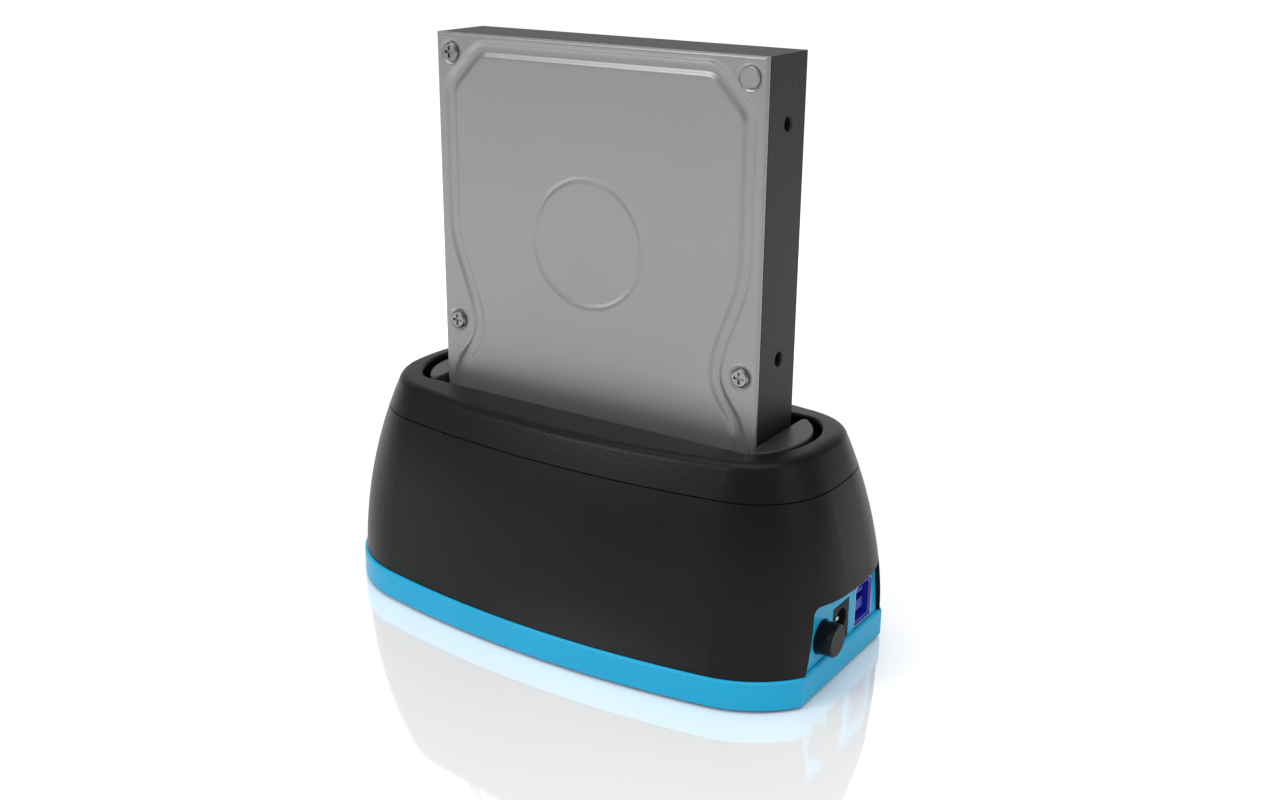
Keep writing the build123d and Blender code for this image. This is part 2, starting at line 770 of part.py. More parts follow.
# Chips: a moulded body on gull-wing leads
bridge_x = 6.0
bridge_y = -25.0
bridge_half = 3.5
bridge_height = 1.4
bridge_lead_count = 8
bridge_lead_pitch = 0.8
flash_x = 22.0
flash_y = -24.5
regulator_x = 34.0
regulator_y = 23.5
small_half_length = 2.45
small_half_width = 1.95
small_height = 1.5
small_lead_count = 4
small_lead_pitch = 1.27
regulator_half_length = 3.25
regulator_half_width = 1.75
regulator_height = 1.6
regulator_lead_count = 3
regulator_lead_pitch = 2.3
lead_reach = 1.0
lead_thickness = 0.15
lead_width = 0.35
wide_lead_width = 0.42
chip_stand = 0.1


def chip_body(x, y, half_length, half_width, height):
    z0 = board_top + chip_stand
    body = block(x - half_length, x + half_length, y - half_width, y + half_width, z0, z0 + height)
    return chamfer(body.edges().group_by(Axis.Z)[-1], height * chip_bevel_share)


chip_bevel_share = 0.2


# One lead: out of the body's side, down to the board, and out along it
def lead(height, width):
    half = height / 2 + chip_stand
    t = lead_thickness
    knee = lead_reach * lead_knee_share
    points = [(0, half), (knee + t, half), (knee + t, t), (lead_reach, t), (lead_reach, 0),
              (knee, 0), (knee, half - t), (0, half - t)]
    plane = Plane(origin=(0, width / 2, 0), x_dir=(1, 0, 0), z_dir=(0, -1, 0))
    return extrude(plane * make_face(Polyline(*points, close=True)), width)


lead_knee_share = 0.35


# Leads on two or four sides; a side is given as its turn and the body's reach that way
def chip_leads(x, y, sides, count, pitch, height, width):
    leads = []
    for turn, reach in sides:
        for step in range(count):
            along = (step - (count - 1) / 2) * pitch
            place = Pos(x, y, board_top) * Rot(0, 0, turn) * Pos(reach, along, 0)
            leads.append(place * lead(height, width))
    return leads


def bridge_chip():
    return chip_body(bridge_x, bridge_y, bridge_half, bridge_half, bridge_height)


def bridge_chip_leads():
    sides = [(turn, bridge_half) for turn in (0, 90, 180, 270)]
    return chip_leads(bridge_x, bridge_y, sides, bridge_lead_count, bridge_lead_pitch,
                      bridge_height, lead_width)


def flash_chip():
    return chip_body(flash_x, flash_y, small_half_length, small_half_width, small_height)


def flash_chip_leads():
    sides = [(90, small_half_width), (270, small_half_width)]
    return chip_leads(flash_x, flash_y, sides, small_lead_count, small_lead_pitch,
                      small_height, wide_lead_width)


def regulator_chip():
    return chip_body(regulator_x, regulator_y, regulator_half_length, regulator_half_width,
                     regulator_height)


def regulator_leads():
    sides = [(270, regulator_half_width)]
    return chip_leads(regulator_x, regulator_y, sides, regulator_lead_count, regulator_lead_pitch,
                      regulator_height, wide_lead_width)


# Crystal, inductors, electrolytic capacitors and small capacitors
crystal_x = 14.2
crystal_y = -25.0
crystal_length = 9.8
crystal_width = 4.4
crystal_height = 3.4
crystal_bevel = 0.4
inductor_half = 3.4
inductor_bevel = 1.1
inductor_height = 3.6
inductor_places = ((10.0, 24.0), (20.0, 24.0))
capacitor_radius = 3.0
capacitor_base_bevel = 1.0
capacitor_height = 5.2
capacitor_base_height = 0.9
capacitor_places = ((-2.0, 24.0), (32.5, -25.0), (39.5, -23.5))
capacitor_bevel = 0.3
small_length = 1.6
small_width = 0.8
small_places = ((-2.0, -21.0), (-2.0, -24.0), (-2.0, -27.0), (0.5, -19.6), (4.0, -19.6), (8.0, -19.6),
                (17.5, -20.2), (26.5, -22.0), (26.5, -26.5), (27.0, 20.5), (27.0, 27.0), (41.0, 21.0))


def crystal_can():
    face = Pos(crystal_x, crystal_y, board_top) * Rot(0, 0, 90) * SlotOverall(crystal_length, crystal_width)
    can = extrude(face, crystal_height)
    return chamfer(can.edges().group_by(Axis.Z)[-1], crystal_bevel)


def power_inductors():
    coils = []
    for x, y in inductor_places:
        core = block(x - inductor_half, x + inductor_half, y - inductor_half, y + inductor_half,
                     board_top, board_top + inductor_height)
        core = chamfer(core.edges().filter_by(Axis.Z), inductor_bevel)
        coils.append(core)
    return coils


def capacitor_cans():
    cans = []
    for x, y in capacitor_places:
        low = board_top + capacitor_base_height
        can = post(x, y, low, low + capacitor_height, capacitor_radius)
        cans.append(chamfer(can.edges().group_by(Axis.Z)[-1], capacitor_bevel))
    return cans


def capacitor_bases():
    bases = []
    for x, y in capacitor_places:
        half = capacitor_radius + fit
        base = block(x - half, x + half, y - half, y + half, board_top, board_top + capacitor_base_height)
        corners = base.edges().filter_by(Axis.Z).group_by(Axis.X)[-1]
        bases.append(chamfer(corners, capacitor_base_bevel))
    return bases


def chip_capacitors():
    return [block(x - small_length / 2, x + small_length / 2, y - small_width / 2, y + small_width / 2,
                  board_top, board_top + small_width) for x, y in small_places]


# Screws of the dock
def board_screws():
    driver = screw(board_head_radius, board_head_height, board_shank_radius, board_shank_length)
    places = [(x, y) for x in (board_screw_left, board_screw_right) for y in (-board_screw_y, board_screw_y)]
    return [Pos(x, y, board_top) * Rot(180, 0, 0) * driver for x, y in places]


def base_screws():
    driver = screw(base_head_radius, base_head_height, base_shank_radius, base_shank_length)
    return [Pos(x, y, tray_bottom + base_head_depth) * driver for x, y in four(base_screw_x, base_screw_y)]


def bay_screws():
    driver = screw(bay_head_radius, bay_head_height, bay_shank_radius, bay_shank_length)
    return [Pos(x, y, lug_bottom) * driver for x, y in four(ear_x, ear_y)]


# The docked drive: cover at the front, casting, circuit board at the back
cover_thickness = 1.1
cover_bevel = 0.35
gasket_thickness = 0.3
gasket_width = 2.0
bead_width = 3.2
bead_depth = 0.5
bead_radius = 6.0
bead_side_edge = 4.4
bead_waist_reach = 7.8
bead_edge = 3.6
bead_cut = 9.9
bead_waist_low = 56.5
bead_waist_in = 64.0
bead_waist_out = 70.0
bead_waist_high = 92.0
spindle_x = -1.4
spindle_height = 95.0
ring_radius = 17.1
ring_width = 0.5
ring_depth = 0.25
cover_screw_side = 4.8
cover_screw_edge = 5.1
cover_screw_low = 67.2
cover_head_radius = 2.5
cover_head_height = 1.1
cover_shank_radius = 1.2
cover_shank_length = 7.0
head_seat = 0.3
plug_radius = 2.7
plug_height = 0.7
casting_edge = 0.5
platter_edge = 3.2
cavity_depth = 12.6
arm_room_edge = 12.8
arm_room_low = 14.0
back_board_length = 57.0
back_board_edge = 8.2
back_board_thickness = 1.2
back_board_recess = 0.2
back_room_depth = 3.6
back_board_gap = 0.3
back_screw_edge = 6.6
back_screw_low = 24.0
back_screw_high = 50.0
back_head_radius = 2.0
back_head_height = 0.9
back_shank_radius = 0.9
back_shank_length = 3.2
cup_radius = 14.5
cup_hub_radius = 5.0
cup_lip = 1.2
cup_lip_depth = 0.6
side_hole_radius = 1.7
side_hole_depth = 5.5
side_hole_y = 1.0
side_hole_first = 28.5
side_hole_second = 70.1
side_hole_third = 130.1
back_hole_side = 3.2
back_hole_first = 41.3
back_hole_second = 85.7
back_hole_depth = 4.0
hole_chamfer = 0.4

bead_side = drive_width / 2 - bead_side_edge
bead_waist = bead_side - bead_waist_reach
cover_screw_x = drive_width / 2 - cover_screw_side
platter_room = drive_width / 2 - platter_edge
arm_room_half = drive_width / 2 - arm_room_edge
back_board_half_width = drive_width / 2 - back_board_edge
back_hole_x = drive_width / 2 - back_hole_side
back_screw_x = back_board_half_width - back_screw_edge
drive_front = -drive_thickness / 2
drive_back = drive_thickness / 2
casting_front = drive_front + cover_thickness + gasket_thickness
front_plane = Plane(origin=(0, drive_front, drive_bottom), x_dir=(1, 0, 0), z_dir=(0, -1, 0))
back_plane = Plane(origin=(0, drive_back, drive_bottom), x_dir=(-1, 0, 0), z_dir=(0, 1, 0))


# The bead's closed line on the cover: cut corners, and a waist round the lower screws
def bead_face():
    high = drive_length - bead_edge
    half = [(bead_side - bead_cut, bead_edge), (bead_side, bead_edge + bead_cut),
            (bead_side, bead_waist_low), (bead_waist, bead_waist_in), (bead_waist, bead_waist_out),
            (bead_side, bead_waist_high), (bead_side, high - bead_cut), (bead_side - bead_cut, high)]
    other = [(-x, y) for x, y in reversed(half)]
    return make_face(FilletPolyline(*(half + other), radius=bead_radius, close=True))


def bead_band(width):
    middle = bead_face()
    return offset(middle, width / 2) - offset(middle, -width / 2)


def drive_rectangle(inset):
    return Pos(0, drive_length / 2) * Rectangle(drive_width - 2 * inset, drive_length - 2 * inset)


# Middles of the cover's screws, in the cover's plane
def cover_screw_places():
    high = drive_length - cover_screw_edge
    return [(-cover_screw_x, high), (-cover_screw_x, cover_screw_low), (cover_screw_x, cover_screw_low)]


def plug_place():
    return (cover_screw_x, drive_length - cover_screw_edge)


def drive_cover():
    plate = extrude(front_plane * drive_rectangle(0), -cover_thickness)
    plate = chamfer(plate.edges().group_by(Axis.Y)[0], cover_bevel)
    plate -= extrude(front_plane * bead_band(bead_width), -bead_depth)
    ring = Circle(ring_radius + ring_width / 2) - Circle(ring_radius - ring_width / 2)
    plate -= extrude(front_plane * (Pos(spindle_x, spindle_height) * ring), -ring_depth)
    for x, y in cover_screw_places():
        hole = Pos(x, y) * Circle(cover_shank_radius + fit / 2)
        seat = Pos(x, y) * Circle(cover_head_radius + fit)
        plate -= extrude(front_plane * hole, -cover_thickness - overrun)
        plate -= extrude(front_plane * seat, -head_seat)
    x, y = plug_place()
    return plate - extrude(front_plane * (Pos(x, y) * Circle(plug_radius)), -head_seat)


def drive_cover_screws():
    driver = screw(cover_head_radius, cover_head_height, cover_shank_radius, cover_shank_length)
    return [front_plane * Pos(x, y, -head_seat) * Rot(180, 0, 0) * driver for x, y in cover_screw_places()]


def drive_cover_plug():
    x, y = plug_place()
    disc = Pos(x, y) * Circle(plug_radius)
    plug = extrude(front_plane * Pos(0, 0, -head_seat) * disc, plug_height)
    return chamfer(plug.edges().group_by(Axis.Y)[0], plug_height * head_bevel_share)


def drive_gasket():
    return extrude(front_plane * Pos(0, 0, -cover_thickness) * bead_band(gasket_width), -gasket_thickness)


def drive_casting():
    low = drive_bottom
    body = block(-drive_width / 2, drive_width / 2, casting_front, drive_back, low, drive_top)
    body = chamfer(body.edges().group_by(Axis.Y)[-1], casting_edge)
    front = front_plane * Pos(0, 0, -cover_thickness - gasket_thickness)
    platter = Pos(spindle_x, spindle_height) * Circle(platter_room)
    body -= extrude(front * platter, -cavity_depth)
    arm_width = 2 * arm_room_half
    arm = Pos(0, (arm_room_low + spindle_height) / 2) * Rectangle(arm_width, spindle_height - arm_room_low)
    body -= extrude(front * arm, -cavity_depth)
    body -= block(-back_board_half_width - back_board_gap, back_board_half_width + back_board_gap,
                  drive_back - back_room_depth, drive_back + overrun,
                  low - overrun, low + back_board_length + back_board_gap)
    body -= block(connector_x - plug_half_length - fit, connector_x + plug_half_length + fit,
                  connector_y - receptacle_front - plug_roof / 2, drive_back + overrun,
                  low - overrun, blade_top + plug_roof + fit)
    body -= extrude(back_plane * (Pos(-spindle_x, spindle_height) * Circle(cup_radius + fit)),
                    -(drive_back - casting_front - cavity_depth) - overrun)
    for x, y in cover_screw_places():
        hole = Pos(x, y) * Circle(cover_shank_radius + fit / 2)
        body -= extrude(front * hole, -cover_shank_length)
    for x in (-back_screw_x, back_screw_x):
        for z in (back_screw_low, back_screw_high):
            boss = Pos(x, z) * Circle(2 * back_head_radius)
            top = back_plane * Pos(0, 0, -back_board_recess - back_board_thickness)
            body += extrude(top * boss, back_board_thickness + back_board_recess - back_room_depth)
            pilot = Pos(x, z) * Circle(back_shank_radius + fit / 2)
            body -= extrude(top * pilot, -back_shank_length + back_board_thickness)
    for z in (side_hole_first, side_hole_second, side_hole_third):
        for side in (-1, 1):
            face = Plane(origin=(side * drive_width / 2, side_hole_y, low + z), z_dir=(side, 0, 0))
            body -= extrude(face * Circle(side_hole_radius), -side_hole_depth)
            body -= extrude(face * Circle(side_hole_radius + hole_chamfer), -hole_chamfer, taper=45)
    for x in (-back_hole_x, back_hole_x):
        for z in (back_hole_first, back_hole_second):
            body -= extrude(back_plane * (Pos(x, z) * Circle(side_hole_radius)), -back_hole_depth)
    return body


def drive_motor_cup():
    depth = drive_back - casting_front - cavity_depth
    place = back_plane * Pos(-spindle_x, spindle_height, -back_board_recess)
    cup = extrude(place * Circle(cup_radius), -depth + back_board_recess)
    ring = Circle(cup_radius - cup_lip) - Circle(cup_hub_radius)
    return cup - extrude(place * ring, -cup_lip_depth)


def drive_board():
    middle = (back_board_length + back_board_gap) / 2
    face = Pos(0, middle) * Rectangle(2 * back_board_half_width, back_board_length - back_board_gap)
    face = fillet(face.vertices(), board_corner)
    for x in (-back_screw_x, back_screw_x):
        for z in (back_screw_low, back_screw_high):
            face -= Pos(x, z) * Circle(back_shank_radius + fit)
    return extrude(back_plane * Pos(0, 0, -back_board_recess) * face, -back_board_thickness)


def drive_board_screws():
    driver = screw(back_head_radius, back_head_height, back_shank_radius, back_shank_length)
    screws = []
    for x in (-back_screw_x, back_screw_x):
        for z in (back_screw_low, back_screw_high):
            screws.append(back_plane * Pos(x, z, -back_board_recess) * Rot(180, 0, 0) * driver)
    return screws


def drive_sata_plug():
    y0 = connector_y - receptacle_front - plug_roof / 2 + fit
    y1 = drive_back - back_board_recess - back_board_thickness
    x0 = connector_x - plug_half_length
    x1 = connector_x + plug_half_length
    plug = block(x0, x1, y0, y1, drive_bottom + blade_recess, blade_top + plug_roof)
    plug -= block(x0 + plug_arm, x1 - plug_arm, y0 + plug_roof / 2 - fit, y1 + overrun,
                  drive_bottom - overrun, blade_top)
    for face in blade_faces(0):
        plug += Pos(0, 0, blade_tip) * extrude(face, blade_root - blade_recess)
    pad_face = connector_y + blade_thickness / 2
    for x in contact_places():
        plug -= block(x - contact_width / 2, x + contact_width / 2, pad_face - contact_thickness,
                      pad_face + overrun / 2, blade_tip + contact_thickness, blade_top)
    return plug


def drive_sata_contacts():
    pad_face = connector_y + blade_thickness / 2
    return [block(x - contact_width / 2, x + contact_width / 2, pad_face - contact_thickness, pad_face,
                  blade_tip + contact_thickness, blade_top) for x in contact_places()]


pieces = {
    "base_tray": base_tray,
    "lower_shell": lower_shell,
    "top_cover": top_cover,
    "drive_bay": drive_bay,
    "rubber_feet": rubber_feet,
    "main_board": main_board,
    "sata_receptacle": sata_receptacle,
    "sata_contacts": sata_contacts,
    "usb_shield": usb_shield,
    "usb_insulator": usb_insulator,
    "usb_contacts": usb_contacts,
    "dc_jack_body": dc_jack_body,
    "dc_jack_pin": dc_jack_pin,
    "dc_jack_spring": dc_jack_spring,
    "switch_body": switch_body,
    "switch_terminals": switch_terminals,
    "power_button": power_button,
    "button_stem": button_stem,
    "bridge_chip": bridge_chip,
    "bridge_chip_leads": bridge_chip_leads,
    "flash_chip": flash_chip,
    "flash_chip_leads": flash_chip_leads,
    "regulator_chip": regulator_chip,
    "regulator_leads": regulator_leads,
    "crystal_can": crystal_can,
    "power_inductors": power_inductors,
    "capacitor_cans": capacitor_cans,
    "capacitor_bases": capacitor_bases,
    "chip_capacitors": chip_capacitors,
    "board_screws": board_screws,
    "base_screws": base_screws,
    "bay_screws": bay_screws,
    "drive_casting": drive_casting,
    "drive_cover": drive_cover,
    "drive_gasket": drive_gasket,
    "drive_motor_cup": drive_motor_cup,
    "drive_board": drive_board,
    "drive_cover_screws": drive_cover_screws,
    "drive_cover_plug": drive_cover_plug,
    "drive_board_screws": drive_board_screws,
    "drive_sata_plug": drive_sata_plug,
    "drive_sata_contacts": drive_sata_contacts,
}

os.makedirs("parts", exist_ok=True)
for name, make in pieces.items():
    made = make()
    solid = Compound(children=list(made)) if isinstance(made, list) else made
    solid.label = name
    export_step(solid, f"parts/{name}.step")
    print(name, "volume", round(solid.volume, 1))
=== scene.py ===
import bpy
import math
import numpy as np
from mathutils import Matrix, Vector


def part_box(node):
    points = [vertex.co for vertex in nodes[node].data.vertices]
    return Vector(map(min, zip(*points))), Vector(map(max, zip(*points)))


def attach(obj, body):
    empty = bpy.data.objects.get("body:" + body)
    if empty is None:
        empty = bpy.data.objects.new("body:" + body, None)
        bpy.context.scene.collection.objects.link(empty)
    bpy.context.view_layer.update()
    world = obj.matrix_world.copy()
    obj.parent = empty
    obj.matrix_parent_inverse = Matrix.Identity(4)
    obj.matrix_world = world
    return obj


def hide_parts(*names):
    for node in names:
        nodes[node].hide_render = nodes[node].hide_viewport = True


# A hard drive docking station with a bare drive standing in its slot. Metres, +Z up.
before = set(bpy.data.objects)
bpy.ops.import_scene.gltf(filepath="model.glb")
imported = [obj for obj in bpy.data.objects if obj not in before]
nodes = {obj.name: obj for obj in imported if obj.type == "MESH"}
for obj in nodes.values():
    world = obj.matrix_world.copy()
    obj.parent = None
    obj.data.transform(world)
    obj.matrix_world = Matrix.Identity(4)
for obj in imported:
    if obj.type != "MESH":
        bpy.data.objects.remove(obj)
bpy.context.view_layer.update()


# The camera

camera = {
    "place": (0.21916, -0.32084, 0.19818),
    "azimuth": 33.83,      # degrees round from the front
    "elevation": 18.96,    # degrees above the horizon
    "roll": 0.38,
    "lens": 41.98,         # millimetres
    "sensor": 36,          # millimetres
    "nearest": 0.01,       # nothing closer is drawn
    "shift": (0.0086, -0.0091),
}


# The axes are right = (cos a, sin a, 0), back = (sin a cos e, -cos a cos e, sin e) and
# up = back x right, then right and up are turned by the roll
def makeCamera(values):
    a, e, r = (math.radians(values[key]) for key in ("azimuth", "elevation", "roll"))
    back = Vector((math.sin(a) * math.cos(e), -math.cos(a) * math.cos(e), math.sin(e)))
    right = Vector((math.cos(a), math.sin(a), 0))
    up = back.cross(right)
    turnedRight = math.cos(r) * right + math.sin(r) * up
    turnedUp = math.cos(r) * up - math.sin(r) * right
    data = bpy.data.cameras.new("camera")
    data.lens = values["lens"]
    data.sensor_width = values["sensor"]
    data.shift_x, data.shift_y = values["shift"]
    data.clip_start = values["nearest"]
    seen = bpy.data.objects.new("camera", data)
    bpy.context.scene.collection.objects.link(seen)
    axes = Matrix((turnedRight, turnedUp, back)).transposed().to_4x4()
    seen.matrix_world = Matrix.Translation(values["place"]) @ axes
    bpy.context.scene.camera = seen


makeCamera(camera)
bpy.context.scene.view_settings.view_transform = "Standard"
print("camera made")


# Node trees

# A socket that takes part in sums: numbers go through Math nodes and vectors through Vector Math
class Flow:
    def __init__(self, tree, socket):
        self.tree = tree
        self.socket = socket

    # Adds a node, its settings first and then its inputs, and gives back one of its outputs
    def node(self, kind, inputs, output=0, **settings):
        made = self.tree.nodes.new(kind)
        for key, value in settings.items():
            setattr(made, key, value)
        for key, value in inputs.items():
            if isinstance(value, Flow):
                self.tree.links.new(value.socket, made.inputs[key])
            else:
                made.inputs[key].default_value = value
        return Flow(self.tree, made.outputs[output])

    # One Math or Vector Math node; a plain number in a sum of vectors stands for three alike
    def calculate(self, operation, first, second):
        kind = "ShaderNodeMath"
        if any(isinstance(term, Flow) and term.socket.type == "VECTOR" for term in (first, second)):
            kind = "ShaderNodeVectorMath"
            first, second = ((term,) * 3 if isinstance(term, (int, float)) else term
                             for term in (first, second))
        return self.node(kind, {0: first, 1: second}, operation=operation)

    def __add__(self, other):
        return self.calculate("ADD", self, other)

    def __radd__(self, other):
        return self.calculate("ADD", other, self)

    def __sub__(self, other):
        return self.calculate("SUBTRACT", self, other)

    def __rsub__(self, other):
        return self.calculate("SUBTRACT", other, self)

    def __mul__(self, other):
        return self.calculate("MULTIPLY", self, other)

    def __rmul__(self, other):
        return self.calculate("MULTIPLY", other, self)

    def __gt__(self, other):
        return self.calculate("GREATER_THAN", self, other)

    def __lt__(self, other):
        return self.calculate("LESS_THAN", self, other)

    # Runs smoothly from first, where this is low or less, to second, where it is high or more
    def smoothly(self, low, high, first, second):
        inputs = {0: self, 1: low, 2: high, 3: first, 4: second}
        return self.node("ShaderNodeMapRange", inputs, interpolation_type="SMOOTHSTEP")

    # Mixes two colours, with this number as the second one's share
    def mixed(self, first, second):
        inputs = {0: self, 6: first, 7: second}
        return self.node("ShaderNodeMix", inputs, output=2, data_type="RGBA")

    # Soft noise between 0 and 1 at the coordinates times the stretch
    def noise(self, scale, detail, stretch=(1, 1, 1)):
        inputs = {"Vector": self * stretch, "Scale": scale, "Detail": detail}
        return self.node("ShaderNodeTexNoise", inputs)

    # Spots that are 1 within the radius of a cell's point and 0 beyond it, the radius in cells
    def specks(self, scale, radius):
        cells = self.node("ShaderNodeTexVoronoi", {"Vector": self, "Scale": scale})
        return cells < radius

    # This height as a normal
    def bump(self, strength, distance):
        inputs = {"Height": self, "Strength": strength, "Distance": distance}
        return self.node("ShaderNodeBump", inputs)


# A colour with an alpha of 1
def opaque(rgb):
    return (*rgb, 1.0)


# A new material, its shader and the flow of the piece's own coordinates
def newMaterial(name):
    material = bpy.data.materials.new(name)
    material.use_nodes = True
    tree = material.node_tree
    shader = tree.nodes["Principled BSDF"]
    return material, shader, Flow(tree, tree.nodes.new("ShaderNodeTexCoord").outputs["Object"])


# Links or sets each named input of the shader, with underscores for the spaces in its name
def feed(shader, at, **inputs):
    for key, value in inputs.items():
        socket = shader.inputs[key.replace("_", " ")]
        if isinstance(value, Flow):
            at.tree.links.new(value.socket, socket)
        else:
            socket.default_value = value


# Moulded plastic: a mottled colour with specks of dust, a fine grain in the surface, and
# roughness = low + mottle * (high - low)
def plastic(name, values):
    material, shader, at = newMaterial(name)
    mottle = at.noise(values["mottleScale"], values["mottleDetail"])
    grain = at.noise(values["grainScale"], values["grainDetail"])
    dust = at.specks(values["dustScale"], values["dustSize"])
    body = mottle.mixed(opaque(values["dark"]), opaque(values["light"]))
    colour = (dust * values["dustShare"]).mixed(body, opaque(values["dust"]))
    low, high = values["roughness"]
    roughness = mottle * (high - low) + low
    feed(shader, at, Base_Color=colour, Roughness=roughness, Specular_IOR_Level=values["specular"],
         Normal=grain.bump(values["grainStrength"], values["grainDepth"]))
    return material


# Worked metal: grain drawn out along one axis, soft stains, fine scratches where a stretched
# noise passes a limit, and roughness = low + grain * (high - low) + scratch * its own share
def metal(name, values):
    material, shader, at = newMaterial(name)
    grain = at.noise(values["grainScale"], values["grainDetail"], values["stretch"])
    stain = at.noise(values["stainScale"], values["stainDetail"])
    drawn = at.noise(values["scratchScale"], values["scratchDetail"], values["scratchStretch"])
    scratch = drawn > values["scratchLimit"]
    worked = grain.mixed(opaque(values["dark"]), opaque(values["light"]))
    stained = (stain * values["stainShare"]).mixed(worked, opaque(values["stain"]))
    low, high = values["roughness"]
    roughness = grain * (high - low) + low + scratch * values["scratchRoughness"]
    relief = grain + scratch * values["scratchRelief"]
    feed(shader, at, Base_Color=stained, Roughness=roughness, Metallic=values["metallic"],
         Normal=relief.bump(values["grainStrength"], values["grainDepth"]))
    return material


# What the finishes share. Scales are counts per metre and depths are in metres. Each finish adds its
# darkest and lightest colour and its lowest and highest roughness.
plasticBase = {
    "mottleScale": 40.0, "mottleDetail": 4.0,
    "grainScale": 2600.0, "grainDetail": 2.0, "grainStrength": 0.25, "grainDepth": 0.0002,
    "dustScale": 900.0, "dustSize": 0.05, "dustShare": 0.25, "dust": (0.35, 0.35, 0.35),
    "specular": 0.5,
}
metalBase = {
    "grainScale": 900.0, "grainDetail": 3.0, "grainStrength": 0.08, "grainDepth": 0.0001,
    "stretch": (1, 1, 12),
    "stainScale": 30.0, "stainDetail": 4.0, "stainShare": 0.25, "stain": (0.30, 0.30, 0.31),
    "scratchScale": 500.0, "scratchDetail": 1.0, "scratchStretch": (1, 1, 0.05),
    "scratchLimit": 0.72, "scratchRoughness": 0.1, "scratchRelief": 0.5,
    "metallic": 1.0,
}

shellPaint = plasticBase | {"dark": (0.0035, 0.0035, 0.0038), "light": (0.0055, 0.0055, 0.006),
                            "roughness": (0.34, 0.42), "specular": 0.18}
basePaint = plasticBase | {"dark": (0.003, 0.27, 0.47), "light": (0.005, 0.31, 0.53),
                           "roughness": (0.32, 0.42), "specular": 0.25,
                           "dustShare": 0.1, "dust": (0.6, 0.8, 0.9), "grainStrength": 0.15}
bayPaint = plasticBase | {"dark": (0.016, 0.016, 0.017), "light": (0.023, 0.023, 0.024),
                          "roughness": (0.34, 0.44)}
buttonPaint = plasticBase | {"dark": (0.003, 0.003, 0.003), "light": (0.005, 0.005, 0.005),
                             "roughness": (0.30, 0.38), "specular": 0.15, "grainScale": 4000.0}
connectorPaint = plasticBase | {"dark": (0.006, 0.006, 0.006), "light": (0.011, 0.011, 0.011),
                                "roughness": (0.5, 0.62), "specular": 0.2, "grainScale": 5000.0}
usbPaint = plasticBase | {"dark": (0.006, 0.012, 0.30), "light": (0.010, 0.022, 0.42),
                          "roughness": (0.3, 0.45), "grainScale": 5000.0}
switchPaint = plasticBase | {"dark": (0.02, 0.022, 0.026), "light": (0.035, 0.038, 0.042),
                             "roughness": (0.45, 0.6)}
chipPaint = plasticBase | {"dark": (0.012, 0.012, 0.013), "light": (0.022, 0.022, 0.023),
                           "roughness": (0.55, 0.7), "grainScale": 8000.0}
rubberPaint = plasticBase | {"dark": (0.012, 0.012, 0.012), "light": (0.022, 0.022, 0.022),
                             "roughness": (0.7, 0.85), "specular": 0.3, "dustShare": 0.5}
ceramicPaint = plasticBase | {"dark": (0.30, 0.20, 0.12), "light": (0.42, 0.30, 0.19),
                              "roughness": (0.35, 0.5), "grainScale": 8000.0}
coverPaint = metalBase | {"dark": (0.205, 0.205, 0.208), "light": (0.245, 0.245, 0.248),
                          "roughness": (0.32, 0.40), "stretch": (12, 1, 1), "metallic": 0.6}
castingPaint = metalBase | {"dark": (0.005, 0.005, 0.0055), "light": (0.011, 0.011, 0.0115),
                            "roughness": (0.45, 0.6), "metallic": 0.4,
                            "stain": (0.015, 0.015, 0.0155)}
cupPaint = metalBase | {"dark": (0.42, 0.42, 0.43), "light": (0.55, 0.55, 0.56),
                        "roughness": (0.25, 0.35)}
screwPaint = metalBase | {"dark": (0.20, 0.20, 0.205), "light": (0.30, 0.30, 0.305),
                          "roughness": (0.28, 0.42), "grainScale": 3000.0}
platedPaint = metalBase | {"dark": (0.62, 0.62, 0.62), "light": (0.75, 0.75, 0.75),
                           "roughness": (0.15, 0.3), "grainScale": 3000.0}
goldPaint = metalBase | {"dark": (0.78, 0.52, 0.18), "light": (0.92, 0.68, 0.30),
                         "roughness": (0.18, 0.3), "grainScale": 5000.0,
                         "stain": (0.45, 0.28, 0.10)}
tinPaint = metalBase | {"dark": (0.55, 0.55, 0.56), "light": (0.68, 0.68, 0.69),
                        "roughness": (0.3, 0.45), "grainScale": 5000.0}
canPaint = metalBase | {"dark": (0.60, 0.61, 0.62), "light": (0.74, 0.75, 0.76),
                        "roughness": (0.25, 0.38)}

boardPaint = {
    "mask": (0.010, 0.075, 0.030),
    "track": (0.022, 0.13, 0.055), "trackScale": 320.0, "trackWidth": 0.035,
    "via": (0.55, 0.42, 0.18), "viaScale": 260.0, "viaSize": 0.07, "viaMetallic": 0.9,
    "roughness": 0.28, "relief": 0.3, "reliefDepth": 0.00004,
}


# Circuit board: solder mask over tracks, which stand where the second nearest point of a square
# cell pattern is well beyond the nearest, and small plated holes
def boardMaterial(values):
    material, shader, at = newMaterial("boardGreen")
    inputs = {"Vector": at, "Scale": values["trackScale"]}
    second = at.node("ShaderNodeTexVoronoi", inputs, distance="CHEBYCHEV", feature="F2")
    first = at.node("ShaderNodeTexVoronoi", inputs, distance="CHEBYCHEV")
    track = (second - first) > values["trackWidth"]
    via = at.specks(values["viaScale"], values["viaSize"])
    mask = track.mixed(opaque(values["mask"]), opaque(values["track"]))
    colour = via.mixed(mask, opaque(values["via"]))
    feed(shader, at, Base_Color=colour, Roughness=values["roughness"],
         Metallic=via * values["viaMetallic"],
         Normal=(track + via).bump(values["relief"], values["reliefDepth"]))
    return material


# New pieces

